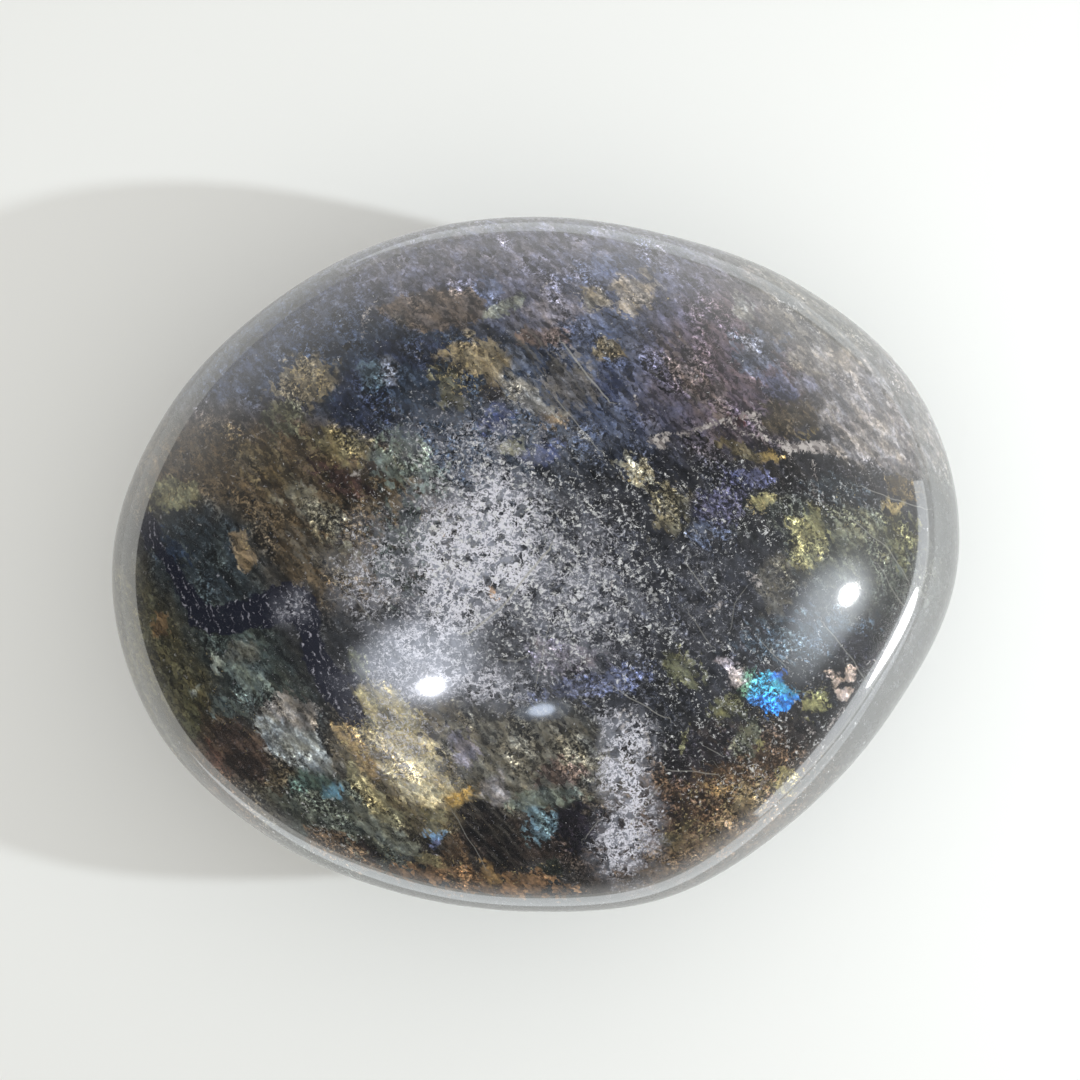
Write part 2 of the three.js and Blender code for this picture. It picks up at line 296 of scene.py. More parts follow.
# %% Name the crystals
CRYSTALS = [
    # name, blur of its faces, colour, corners across and down
    (
        "green-grey crystal", 1, "67736f",
        [(22, 66.5), (24, 66), (26, 66.7), (27.4, 69), (25.6, 69.5), (23, 68)],
    ),
    (
        "grey-olive crystal", 1, "5b5d55",
        [(22, 65.4), (23.4, 64.2), (25.6, 64.2), (26, 66.2), (23.4, 66.4)],
    ),
    (
        "buff crystal", 1, "837e78",
        [(26, 71), (27, 69.8), (28.5, 69.2), (32.4, 71.2), (31, 73.6), (27.5, 72.8)],
    ),
    (
        "grey-blue crystal", 0.5, "9ba1a0",
        [(25.2, 71.4), (26.6, 71.2), (31.8, 73.6), (33.8, 77.9), (30.3, 76.9), (27, 75.2), (25.8, 73.2)],
    ),
    ("green foot", 1, "495b53", [(28.2, 77.6), (30.5, 76.9), (33.8, 77.9), (33.2, 79.2), (29.5, 79.4)]),
    ("sky-blue spot", 0.9, "618b9e", [(31.8, 78.5), (33, 78), (34.2, 78.8), (33.6, 79.9), (32.2, 79.6)]),
    (
        "brown wedge", 0.8, "3d322c",
        [(21, 72.6), (24.8, 72), (26.6, 75), (28, 76.4), (26.4, 78.4), (23, 77.6)],
    ),
    ("rusty edge", 0.6, "573d30", [(20.8, 74), (21.8, 75), (23.4, 77.6), (22.4, 77.8), (20.8, 75.6)]),
    (
        "olive crystal of the rim", 0.8, "4f4e37",
        [(18.4, 69.4), (20.2, 69.8), (20.2, 72.6), (19, 74), (18, 71.6)],
    ),
    ("green-dark crystal", 1, "4b5554", [(21, 69.4), (25.4, 69.6), (25.2, 71), (23, 72), (21, 71.4)]),
    ("pale shard", 0.4, "9ea8a0", [(21, 65.4), (22.2, 65.8), (21.8, 67.5), (21.3, 66.8)]),
    ("second pale shard", 0.4, "9fa69e", [(19.2, 69.2), (19.7, 68.6), (20.2, 68.4), (19.6, 69.8)]),
    ("olive-brown foot", 1, "4d4536", [(27, 76.4), (30, 77.2), (28.2, 79.6), (26.4, 78.6)]),
    (
        "upper gold", 1.4, "b1a576",
        [(34.6, 69.6), (36.5, 68), (39.8, 69), (42, 71.4), (42, 74), (36.6, 73.4)],
    ),
    (
        "golden heart", 1.6, "e1d3a8",
        [(36.6, 73.2), (42, 73), (44.8, 78), (44.2, 80.8), (41.2, 80.6), (39, 77.6)],
    ),
    (
        "palest gold", 1.4, "e9e3cb",
        [(37.8, 74.6), (40.4, 74.2), (43, 77), (42.8, 79), (41, 79), (39, 76.8)],
    ),
    (
        "orange band", 0.7, "968058",
        [(33.2, 72), (34.8, 72.2), (36.6, 74.4), (38.3, 77.6), (37.4, 78.4), (34.6, 75.2)],
    ),
    (
        "orange grains", 0.8, "ddae6b",
        [(35.4, 73.8), (36.3, 74.2), (37.7, 76.8), (37.4, 77.8), (36.2, 76.2)],
    ),
    (
        "olive band", 1.2, "978f6c",
        [(34.4, 75.4), (37.4, 78.6), (40.2, 81.6), (39.6, 82.8), (37, 81), (34.4, 78)],
    ),
    ("speckled edge", 1, "7e786c", [(33.4, 74.6), (34.6, 76), (34.6, 78), (33.8, 78), (32.9, 76)]),
    (
        "grey foot", 1.2, "696c61",
        [(35, 79.6), (38, 81.9), (41.4, 84), (41.6, 85.4), (38.6, 85.2), (36, 82.6)],
    ),
    ("black wedge", 0.6, "211917", [(35.4, 82.8), (38.5, 85.2), (38.4, 86.3), (37.2, 86), (35.7, 84.3)]),
    ("olive tip", 1.2, "6d674d", [(41, 80.8), (44.6, 80.6), (45, 82.8), (43, 83.6)]),
    ("ochre tip", 0.7, "a98a49", [(44.4, 79.8), (46.4, 79), (47.9, 78.9), (46.4, 80), (45, 80.7)]),
    ("brown under the tip", 1, "50402f", [(44.2, 83.2), (46, 83.8), (46.8, 86.4), (44.4, 86.2)]),
    (
        "black patch", 0.9, "1e1917",
        [(45.6, 80.9), (47.6, 79.6), (49.8, 80.5), (51.6, 82.4), (52, 85.6), (49, 86), (46.8, 83.6)],
    ),
    ("ochre wedge", 0.6, "876e49", [(47.8, 85.7), (48.9, 86.5), (50.6, 88.2), (49, 88.7), (48.2, 87.4)]),
    (
        "violet-grey crystal", 1.4, "817e88",
        [(45, 73.6), (46.5, 73.2), (47.6, 75), (47.2, 77), (45.8, 76.5)],
    ),
    (
        "pale grey crystal", 1, "84807f",
        [(48.4, 78), (49.9, 77.5), (50.7, 79.4), (49.7, 81), (48.2, 79.4)],
    ),
    (
        "fibrous crystal", 0.6, "7f6f56",
        [(23.1, 53.5), (24.4, 53.1), (25.8, 56.2), (24.6, 57.2), (23.8, 56.7)],
    ),
    (
        "yellow-green crystal", 0.9, "6c6a50",
        [(15.1, 48.6), (16.5, 47.8), (19.4, 48.5), (19.9, 49.9), (18, 51), (15, 50.9)],
    ),
    (
        "brown lens", 0.8, "594f47",
        [
            (37.8, 30.8), (40.6, 29.5), (43.6, 28.7), (46.6, 28.8),
            (48.4, 30), (48.5, 31.7), (45.5, 32.9), (41, 33.3),
        ],
    ),
    ("gold tip of the lens", 0.8, "837a68", [(38, 30.7), (40.2, 30.8), (42, 33), (40.4, 32.9)]),
    (
        "pale wedge", 0.6, "808379",
        [(48.3, 30.5), (50.4, 30), (52.6, 28.7), (52.9, 29.9), (50.6, 31.4), (48.3, 31.9)],
    ),
    (
        "violet lens", 0.8, "69666f",
        [(52.2, 31), (54.5, 29.1), (57, 29.1), (58.5, 31), (56.6, 32.5), (53.4, 32.8)],
    ),
    ("cream edge", 0.8, "898173", [(57.8, 28.8), (60.4, 28.8), (61.2, 30.4), (58.9, 31)]),
    (
        "mottled cream", 1.2, "91887d",
        [(60.2, 29), (62, 27.5), (64.6, 27.3), (65.9, 28.8), (65, 30), (63, 31.8), (61.6, 30.1)],
    ),
    (
        "gold mottle", 1.4, "7a6e56",
        [(43.4, 35.6), (46.4, 33.8), (49, 33.7), (51, 36), (50, 38.6), (47, 37.6)],
    ),
    ("gold bead", 0.6, "cca66a", [(47.8, 35.4), (48.5, 35.1), (48.9, 35.8), (48.2, 36.3)]),
    ("olive arm", 1.4, "585644", [(43.4, 37), (45.6, 36.6), (46.6, 40.4), (44.4, 41)]),
    ("slate crystal", 1, "5f6778", [(50.6, 34.8), (53, 35.2), (53.3, 36.8), (51.6, 37.1)]),
    ("pale band", 1.2, "787670", [(49.6, 36.9), (52, 37.8), (56.4, 41.2), (54, 41.6), (51, 39.6)]),
    ("dark hollow", 0.5, "1e1a19", [(47.8, 38.5), (50, 38.6), (50.6, 39.6), (49, 40), (47.9, 39.7)]),
    (
        "pale yellow sliver", 0.8, "8a8872",
        [(49.2, 44.9), (51, 44), (52.3, 43.7), (52.5, 45), (50.8, 45.4)],
    ),
    (
        "pale crystal", 0.7, "86847e",
        [(72.8, 28.8), (74.2, 29.4), (75.6, 31.6), (75.2, 32.6), (73.4, 31.2)],
    ),
    (
        "striated crust", 0.7, "817b75",
        [(78, 35.8), (80, 34.5), (84.5, 35.2), (88.2, 37.4), (87, 38.8), (82.4, 37.6), (81.4, 37.9)],
    ),
    (
        "grey crust", 0.7, "726e6d",
        [
            (82.2, 37.4), (85.6, 37), (89, 38.4), (88.6, 41),
            (86.6, 43.2), (83, 42.6), (80.4, 43.6), (82, 41.4),
        ],
    ),
    (
        "pink crust", 0.7, "837e7c",
        [
            (80.8, 43.8), (84, 43.4), (87, 42), (89, 43), (91.6, 45.8),
            (92.7, 47.9), (89.4, 47), (84.6, 45.8), (81, 45.7),
        ],
    ),
    ("brightest crust", 1, "88817b", [(86.8, 42), (88.6, 41.6), (90.2, 44), (91.2, 46.4), (88, 45.6)]),
    ("dark brown", 1, "3f382e", [(76, 40.2), (82, 40.3), (82, 41.8), (80, 43.3), (77, 43.4)]),
    ("red-brown hollow", 0.7, "3d2120", [(73, 41.4), (74.6, 41.3), (74.3, 43.1), (73.4, 42.8)]),
    ("yellow crystals", 0.7, "a09b70", [(75, 50), (76.4, 49.2), (77.6, 49.6), (77.4, 50.5), (76, 50.9)]),
    (
        "olive crystal", 1.2, "7f7c59",
        [(79, 52.2), (80.8, 50.7), (82, 51.2), (83, 54), (81.6, 56.4), (79, 56.8)],
    ),
    (
        "tan crescent", 0.6, "727154",
        [(68.9, 72.2), (69.6, 72.8), (68.6, 74.4), (68.4, 75.6), (67.8, 75), (68.2, 73.2)],
    ),
    ("gold grain", 0.5, "aca36f", [(75.8, 74.1), (76.5, 74.1), (76.6, 74.9), (75.8, 75)]),
    (
        "yellow-green by the flash", 1, "817f57",
        [(80.4, 69.6), (82.2, 69.2), (82.6, 70.8), (81.2, 71.5), (80.2, 70.9)],
    ),
    ("pink crystal", 0.6, "ada4a4", [(73, 66.9), (74.3, 66.8), (75, 68.3), (74.2, 69), (72.8, 68.7)]),
    ("mauve crystal", 0.6, "938c91", [(71.4, 65.9), (73, 65.7), (74.4, 66.5), (73.4, 67.1)]),
    ("pink shard", 0.3, "baa99e", [(82.5, 66.7), (83.8, 67.3), (84.5, 68.4), (83.4, 68.6), (83, 67.8)]),
    ("second pink shard", 0.3, "baa99e", [(84.8, 66.5), (85.6, 66.7), (85.4, 68.3), (84.7, 67.9)]),
    ("third pink shard", 0.3, "baa99e", [(83.4, 68.9), (85.5, 68.7), (84.3, 70.4), (83.7, 69.8)]),
    ("tan sliver", 0.3, "cda67b", [(48, 57.4), (48.6, 57.7), (50.1, 60), (49.7, 60.4), (48.6, 59)]),
    (
        "flash, green edge", 0.9, "648e77",
        [(74.2, 67.3), (75.4, 66.8), (75.4, 69), (74.4, 69.8), (73.8, 69)],
    ),
    (
        "flash, teal side", 0.8, "4398b9",
        [(74.9, 67.7), (76.5, 67), (78.4, 68.2), (79.8, 69.6), (77.4, 70), (74.9, 69.8)],
    ),
    ("flash, blue spur", 0.4, "2f6cc4", [(76.8, 67.4), (78.6, 67), (78.2, 67.9), (77.3, 67.9)]),
    (
        "flash, azure heart", 0.6, "3891f3",
        [
            (74.5, 70.1), (75.6, 69.4), (78.4, 69.3), (79.9, 69.8),
            (78.9, 70.9), (76.7, 72.2), (76.2, 71.1),
        ],
    ),
    ("flash, violet side", 0.8, "4c96e4", [(74.6, 69.6), (75.8, 69.2), (76, 70.5), (75, 70.7)]),
]
print("and", len(CRYSTALS), "crystals")

# %% [markdown]
# Veins are chains of points, each with half the vein's width there. The navy one is a dark mineral that
# filled a crack; the pale ones are crusts of tiny grains. Scratches are finer than the points' spacing,
# so they need a paint of their own: not a cover but the distance from the line, which the shader then
# compares with the line's width.

# %% Name the veins and scratches
NAVY_VEIN = [
    [
        (14.8, 52.4, 1),
        (15.2, 53.8, 0.9),
        (16.2, 55.6, 0.5),
        (17.7, 57.4, 0.6),
        (18.6, 59.4, 0.8),
        (19.8, 61.7, 1.1),
        (21.6, 62, 1.5),
        (25, 61.4, 1.7),
        (28.6, 60.3, 2),
        (30.2, 60.8, 1.8),
        (30.8, 62.8, 1.1),
        (31.4, 65.4, 1.2),
        (33, 68, 1.4),
        (34.5, 70.3, 1.3),
        (35.7, 71.8, 0.9),
    ],
    [(34, 67.6, 0.5), (35.3, 68, 0.7)],
]
PALE_VEINS = [
    [(68, 43.6, 0.4), (71, 42.4, 0.5), (73.6, 41.6, 0.35), (75.6, 41.5, 0.6), (76.2, 43, 0.35)],
    [(72.6, 42.3, 0.4), (74.6, 43.4, 0.3), (77.4, 44, 0.4), (79.2, 44.8, 0.6), (82, 44.6, 0.9)],
    [(78.7, 45.2, 0.25), (79.4, 46.9, 0.28)],
    [(81.3, 46.2, 0.3), (81.7, 48.2, 0.2), (81.5, 49.4, 0.35)],
    [(36.3, 33.6, 0.3), (36.5, 31.2, 0.3), (37.8, 29.9, 0.25)],
    [(39.4, 29.7, 0.2), (40.2, 28.4, 0.2), (39.8, 26.6, 0.15)],
    [(53.9, 29.3, 0.2), (55, 28, 0.2)],
    [(57.1, 29, 0.2), (58.3, 30, 0.3), (58.8, 31.1, 0.25), (60.8, 30.6, 0.25), (62.9, 31.8, 0.3)],
    [(62.8, 31.6, 0.15), (64, 33, 0.15)],
    [(62.3, 38, 0.15), (63.6, 40, 0.2), (64.3, 42.2, 0.2)],
    [(65, 44.2, 0.5), (66.6, 43.6, 0.6), (66, 44.8, 0.5)],
    [(47.8, 40.3, 0.15), (50.4, 39.8, 0.2), (52, 40.4, 0.2)],
    [(25, 43.9, 0.3), (26.6, 42.9, 0.15)],
    [(29, 44.5, 0.15), (30.4, 45.5, 0.2)],
    [(35.4, 47.4, 0.5), (36.2, 47.2, 0.4)],
    [(58.6, 55, 0.2), (59.8, 56.4, 0.4), (60.6, 57, 0.2)],
    [(61, 58.2, 0.45), (61.4, 59.4, 0.35)],
    [(57.6, 60.2, 0.25), (59.2, 61.8, 0.2)],
    [(61.6, 62.8, 0.2), (62.6, 63.6, 0.25)],
    [(70.9, 61.2, 0.4), (72.4, 60.2, 0.4)],
    [(74.8, 57, 0.4), (75.8, 58.4, 0.6)],
    [(86, 66, 0.3), (87.6, 66.4, 0.3)],
    [(84.6, 70.4, 0.25), (82.9, 72.8, 0.3)],
    [(80.4, 71.8, 0.2), (81.4, 73.6, 0.35)],
    [(62.5, 70.8, 0.3), (64.2, 72.6, 0.4), (65.2, 75.2, 0.4), (65.4, 77, 0.2)],
    [(61.8, 71.4, 0.5), (62.4, 73, 0.5)],
    [(76.6, 77.6, 0.3), (75.6, 79.4, 0.3)],
]
SCRATCHES = [
    # half width, brightness, points across and down
    (0.1, 1, [(46.7, 63.4), (50.3, 60.6), (52.4, 57.9), (54.9, 55)]),
    (0.05, 0.5, [(44.2, 52.8), (47.8, 51.2)]),
    (0.04, 0.6, [(54.7, 63.2), (53.6, 68.6)]),
    (0.1, 0.35, [(50.4, 66), (51.6, 66.1), (52.8, 65.6)]),
    (0.05, 0.6, [(55.8, 40.2), (57.6, 42.3), (59.8, 44.9)]),
    (0.08, 0.7, [(56.4, 34.4), (58.6, 37.4), (60.8, 40)]),
    (0.05, 0.6, [(61.4, 68.8), (64, 70.3), (66.6, 71.8)]),
    (0.05, 0.5, [(86.4, 48.6), (89, 49.8), (92.2, 50.8)]),
    (0.05, 0.5, [(84.8, 51.6), (88.8, 54.8), (90.8, 58)]),
    (0.05, 0.4, [(88, 56.6), (89.6, 59.6), (90.2, 60.4)]),
    (0.06, 0.4, [(82.4, 62.4), (84.6, 65.2), (87, 68.6)]),
    (0.05, 0.5, [(68.6, 56.4), (70.8, 59.4)]),
    (0.05, 0.4, [(69, 61.6), (71, 64.4)]),
    (0.05, 0.4, [(76, 64), (78.4, 66.6)]),
    (0.05, 0.3, [(74.6, 58.8), (73.4, 60.6), (73.2, 62.6)]),
    (0.05, 0.5, [(66.8, 77), (71.6, 77.4)]),
    (0.05, 0.4, [(70.8, 74.8), (72.2, 75.6)]),
    (0.06, 0.4, [(66, 78.6), (64.4, 80.6), (63, 82.4)]),
    (0.05, 0.5, [(58.7, 83.6), (59.8, 82.2)]),
    (0.04, 0.5, [(45.4, 81.4), (46.6, 83.6), (48.6, 86.6)]),
    (0.05, 0.4, [(36.4, 74.2), (38.6, 77), (40.2, 80)]),
    (0.05, 0.4, [(33, 59.9), (35.4, 59.6), (37, 61.8)]),
]
print("and", len(NAVY_VEIN) + len(PALE_VEINS), "veins and", len(SCRATCHES), "scratches")

# %% [markdown]
# Four more paints say how much of a texture each place has. They become the channels of one attribute:
# silvery cloud, gold specks, cleavage stripes and white dust. The cloud is a bruise of tiny fractures in
# the middle of the dome, with a tail that runs down to the front rim. Its silvery brightness is partly
# painted highlight: the glare that the fractures catch from the lamps is painted into their colour.

# %% Name the textured places
# The cloud's places: real fractures, painted paler than they are to stand in for the glare they catch.
CLOUDS_AND_GLARE = [
    # name, across, down, length, width, turn, softness, strength
    ("cloud of the crest", 48.6, 54.4, 12, 14, 0, 0.6, 0.95),
    ("left heart", 45.2, 57, 7, 13, 0, 0.6, 1),
    ("lower left of the cloud", 42.4, 64.4, 13, 7, 25, 0.7, 0.5),
    ("foot of the cloud", 46.4, 68, 15, 5, 0, 0.6, 0.5),
    ("right of the cloud", 57.4, 59.4, 13, 15, 0, 0.7, 0.42),
    ("left fringe", 37.6, 57.6, 7, 9, 0, 0.7, 0.45),
    ("ring of the streak", 62.9, 74, 5.6, 7, 0, 0.45, 0.6),
    ("waist of the streak", 62.2, 78.6, 4.2, 6, 0, 0.6, 0.85),
    ("foot of the streak", 62.6, 83.6, 6, 7.6, 0, 0.6, 0.7),
    ("dust of the right", 71, 60, 18, 14, 0, 0.7, 0.12),
    ("frost of the middle", 48, 44, 16, 8, 0, 0.7, 0.3),
    ("frost of the golden zone", 40, 74, 11, 7, -47, 0.5, 0.35),
    ("zigzag's knee", 29.4, 60.6, 3.4, 3.6, 0, 0.6, 0.3),
]
SPECKS = [
    ("gold-speckled patch", 30.7, 38.2, 6.6, 4.6, 20, 0.35, 1),
    ("gold mottled patch", 46.8, 36.6, 10, 7, -20, 0.5, 0.9),
    ("olive-gold of the left", 33, 45.5, 12, 7, -20, 0.6, 0.6),
    ("olive-yellow patch", 17.3, 49.6, 5, 3.4, 5, 0.4, 0.8),
    ("fibrous crystal", 24.4, 54.7, 4, 2.2, -62, 0.5, 0.9),
    ("golden zone", 40.8, 75.8, 18, 8, -47, 0.4, 0.9),
    ("orange edge of the golden zone", 36, 75, 9, 2.4, -45, 0.5, 1),
    ("rims of the lower left", 22, 70, 26, 6, -55, 0.5, 0.5),
    ("rusty rim", 46, 87, 26, 4, -8, 0.5, 0.7),
    ("lower right", 71, 81, 22, 8, 25, 0.5, 0.8),
    ("yellow crystals", 76.4, 50.2, 3.4, 2.2, 10, 0.4, 1),
    ("olive patches of the right", 85, 52, 14, 8, -20, 0.6, 0.5),
    ("by the flash", 78, 71, 12, 5, 20, 0.5, 0.6),
    ("pale yellow crystals", 64, 47.6, 4, 2.4, -40, 0.4, 1),
    ("crest of the vein", 64, 30, 8, 3, 0, 0.5, 0.7),
]
STRIPES = [
    ("stripes through the middle", 55, 38.5, 12, 8, -47, 0.5, 0.7),
    ("stripes of the golden zone", 40, 78, 14, 6, -47, 0.5, 0.6),
    ("stripes of the lower left", 30, 74, 14, 8, -40, 0.6, 0.3),
    ("stripes of the brown zone", 29, 52, 16, 8, -47, 0.6, 0.4),
    ("stripes of the lower middle", 48, 83, 10, 8, -55, 0.6, 0.4),
    ("stripes of the upper right", 66, 38, 14, 10, -47, 0.6, 0.25),
]
DUSTS = [
    ("dust of the whole dome", 54, 57, 78, 62, 0, 0.08, 0.35),
    ("thick dust of the middle", 54, 56, 46, 30, -20, 0.5, 0.9),
    ("thick dust of the lower right", 74, 72, 26, 26, 20, 0.5, 0.75),
    ("thick dust of the lower left", 31, 80, 24, 14, -40, 0.5, 0.7),
    ("thick dust under the crust", 76, 50, 30, 12, -10, 0.5, 0.75),
]
print("and", len(CLOUDS_AND_GLARE + SPECKS + STRIPES + DUSTS), "textured places")

# %% [markdown]
# Each point of the mesh is first put where the camera sees it in the frame. Below the girdle, where the
# camera sees nothing, the places slide sideways with depth, so that the underside shows the same zones
# cut at another level, as a real slice through the rock would. Smooth noise then bends the ovals, much
# for the grounds, less for the patches and least for the crystals and lines. Blender's noise starts
# from the clock unless it is given a seed, and a seed makes every run bend them alike.

# %% Find each point's place in the frame
POINTS = np.array([v.co for v in stone.data.vertices]) / MM
SLIDE_START = GIRDLE_HEIGHT - 2
SLIDE = np.array([1.3, -0.9])
BROAD_LUMPS = 5
FINE_LUMPS = 1.4
GROUND_BENDS = (1.6, 0.8)
PATCH_BENDS = (0.6, 0.4)
LINE_BEND = 0.15
BEND_SEED = 7


def noise_at(points, width):
    """Two smooth random numbers, from about -1 to 1, for each point. Width is the lumps' size."""
    return np.array([noise.noise_vector(Vector(point / width))[:2] for point in points])


def places_in_frame(points):
    """Where each point is seen, in mm across and down the frame."""
    reach = EYE_OVER_GIRDLE / (EYE.z - points[:, 2])
    corner = np.array([FRAME_CORNER.x, FRAME_CORNER.y])
    eye = np.array([EYE.x, EYE.y])
    seen = eye + (points[:, :2] - eye) * reach[:, None]
    below = np.maximum(SLIDE_START - points[:, 2], 0)[:, None]
    return (seen - corner) * np.array([1, -1]) + below * SLIDE


PLACES = places_in_frame(POINTS)
noise.seed_set(BEND_SEED)
BROAD_BEND = noise_at(POINTS, BROAD_LUMPS)
FINE_BEND = noise_at(POINTS, FINE_LUMPS)
GROUND_PLACES = PLACES + GROUND_BENDS[0] * BROAD_BEND + GROUND_BENDS[1] * FINE_BEND
PATCH_PLACES = PLACES + PATCH_BENDS[0] * BROAD_BEND + PATCH_BENDS[1] * FINE_BEND
LINE_PLACES = PLACES + LINE_BEND * FINE_BEND
print("placed", len(PLACES), "points in the frame")

# %% [markdown]
# Each kind of marking has a measure of how much it covers a place: 1 well inside, 0 well outside and
# 0.5 on its edge. A brush in Texture Paint would do as well, but a measured cover has a known size and
# comes out the same on every run.

# %% Measure the cover of an oval, a crystal and a vein
VEIN_SLOPE = 0.6


def oval_cover(places, across, down, length, width, turn, softness):
    """How much an oval covers each place, from 0 to 1, with 0.5 on its edge."""
    angle = math.radians(turn)
    away = places - np.array([across, down])
    along = away[:, 0] * math.cos(angle) - away[:, 1] * math.sin(angle)
    aside = away[:, 0] * math.sin(angle) + away[:, 1] * math.cos(angle)
    distance = np.hypot(along / (length / 2), aside / (width / 2))
    return np.clip((1 + softness - distance) / (2 * softness), 0, 1)


def crystal_cover(places, blur, corners):
    """The same for a crystal: the distance, in mm, past the straight face that is nearest."""
    beyond = np.full(len(places), -np.inf)
    for (x0, y0), (x1, y1) in zip(corners, corners[1:] + corners[:1]):
        face = np.array([x1 - x0, y1 - y0])
        outwards = np.array([face[1], -face[0]]) / np.hypot(*face)
        beyond = np.maximum(beyond, (places - np.array([x0, y0])) @ outwards)
    return np.clip(0.5 - beyond / (2 * blur), 0, 1)


def from_chain(places, chain):
    """Each place's distance from a chain, positive on its right side, and the half width there."""
    nearest = np.full(len(places), np.inf)
    half_widths = np.zeros(len(places))
    for (x0, y0, w0), (x1, y1, w1) in zip(chain, chain[1:]):
        run = np.array([x1 - x0, y1 - y0])
        away = places - np.array([x0, y0])
        along = np.clip(away @ run / (run @ run), 0, 1)
        away = away - along[:, None] * run
        distance = np.hypot(away[:, 0], away[:, 1])
        side = np.where(run[0] * away[:, 1] - run[1] * away[:, 0] < 0, -1, 1)
        closer = distance < np.abs(nearest)
        nearest = np.where(closer, distance * side, nearest)
        half_widths = np.where(closer, w0 + (w1 - w0) * along, half_widths)
    return nearest, half_widths


def vein_cover(places, chains):
    """The cover of a set of veins, from 0 to 1, with 0.5 on their edges."""
    cover = np.zeros(len(places))
    for chain in chains:
        distance, half_width = from_chain(places, chain)
        cover = np.maximum(cover, 0.5 + (half_width - np.abs(distance)) / (2 * VEIN_SLOPE))
    return np.clip(cover, 0, 1)


print("a vein's edge fades over", 2 * VEIN_SLOPE, "mm")

# %% [markdown]
# A colour attribute keeps four numbers for each point of a mesh: red, green, blue and alpha. The paints
# are worked out for all points at once. The dust is thinned over the crystals, whose faces are clear,
# and the textures fade towards the girdle and below it, where the skin mirrors the ground.

# %% Paint the attributes
MEETING_SHARPNESS = 6
GROUND_COLOUR = "2b2c2d"
DUST_OFF_CRYSTALS = 0.4
FADE_HEIGHT = 4
LEAST_TEXTURE = 0.3


def store(name, values):
    """Keep a colour for each point of the stone as an attribute that the shader can read."""
    attribute = stone.data.attributes.new(name, "FLOAT_COLOR", "POINT")
    attribute.data.foreach_set("color", values.astype(np.float32).ravel())


def painted(covers_and_colours):
    """One layer of paint: where pieces meet, the one that covers more wins. Alpha keeps the cover."""
    layer = np.zeros((len(POINTS), 4))
    for cover, colour in covers_and_colours:
        wins = np.clip((cover - layer[:, 3]) * MEETING_SHARPNESS + 0.5, 0, 1) * (cover > 0)
        wins = np.where(layer[:, 3] == 0, cover > 0, wins)[:, None]
        layer[:, :3] += (np.array(linear(colour)[:3]) - layer[:, :3]) * wins
        layer[:, 3] = np.maximum(layer[:, 3], cover)
    return layer


grounds = np.tile(np.array(linear(GROUND_COLOUR)), (len(POINTS), 1))
for _, *oval, colour in GROUNDS:
    cover = oval_cover(GROUND_PLACES, *oval)[:, None]
    grounds += (np.array(linear(colour)) - grounds) * cover * cover * (3 - 2 * cover)
store("grounds", grounds)
store("patches", painted((oval_cover(PATCH_PLACES, *oval), colour) for _, *oval, colour in PATCHES))
crystals = painted((crystal_cover(LINE_PLACES, blur, corners), hue) for _, blur, hue, corners in CRYSTALS)
store("crystals", crystals)

textures = np.zeros((len(POINTS), 4))
for channel, places in enumerate((CLOUDS_AND_GLARE, SPECKS, STRIPES, DUSTS)):
    for _, *oval, strength in places:
        amount = oval_cover(GROUND_PLACES, *oval) * strength
        textures[:, channel] = np.maximum(textures[:, channel], amount)
textures[:, 3] -= DUST_OFF_CRYSTALS * crystals[:, 3]
textures *= np.clip((POINTS[:, 2:3] - GIRDLE_HEIGHT) / FADE_HEIGHT, LEAST_TEXTURE, 1)
store("textures", textures)
print("painted four attributes on", len(POINTS), "points")

# %% [markdown]
# Veins are covers too. A scratch is thinner than the gap between two points, so a cover would come out
# as a row of dots. The distance from it changes evenly from point to point, so it can be stored: red is
# the distance, green the brightness and blue half the width.

# %% Paint the veins and scratches
SCRATCH_REACH = 1.2

lines = np.zeros((len(POINTS), 4))
lines[:, 0] = vein_cover(LINE_PLACES, NAVY_VEIN)
lines[:, 1] = vein_cover(LINE_PLACES, PALE_VEINS)
store("veins", lines)

scratches = np.zeros((len(POINTS), 4))
scratches[:, 0] = SCRATCH_REACH
for half_width, brightness, chain in SCRATCHES:
    distance, _ = from_chain(LINE_PLACES, [(*point, half_width) for point in chain])
    closer = np.abs(distance) < np.abs(scratches[:, 0])
    scratches[closer, 0] = distance[closer]
    scratches[closer, 1] = brightness
    scratches[closer, 2] = half_width
store("scratches", scratches)
print("painted", len(SCRATCHES), "scratches")

# %% [markdown]
# ## Nodes
# The shader is long, so one small function adds each node with its settings and its links. A Mix node
# has sockets for every kind of data, so the ones for colours are found by their numbers.

# %% Add a node
FACTOR = 0
BELOW = 6
ABOVE = 7
MIXED = 2


def add(tree, kind, inputs=None, **settings):
    """Add a node, such as a 'MapRange', and give back its outputs. Each input is a value, or the
    output of another node to link."""
    node = tree.nodes.new("ShaderNode" + kind)
    for name, value in settings.items():
        setattr(node, name, value)
    for key, value in (inputs or {}).items():
        if isinstance(value, bpy.types.NodeSocket):
            tree.links.new(value, node.inputs[key])
        else:
            node.inputs[key].default_value = value
    return node.outputs


print("colours are mixed from sockets", BELOW, "and", ABOVE)

# %% [markdown]
# ## The mineral close up
# The shader's own patterns read Object coordinates, in millimetres. Crystals are long cells that lie
# along the cleavage, from upper left to lower right. Their random numbers do two jobs: they give each
# crystal its own tone, and they shift the cut-off of the painted patches, so that a patch ends along
# whole crystals instead of a smooth curve. The grain of the real stone is finer than a tenth of a
# millimetre. It is drawn about three times as coarse, so that it shows from where the camera stands.

# %% Start the material and its crystals
CLEAVAGE = math.radians(-48)
CRYSTAL_SIZES = (2.2, 1.0, 1.4)
STREAK_SIZES = (2.6, 1.1, 1.6)
TATTER_WIDTH = 0.8
TATTER = 0.7
GRAIN_WIDTH = 0.36
FACETS_PER_CRYSTAL = 2.7

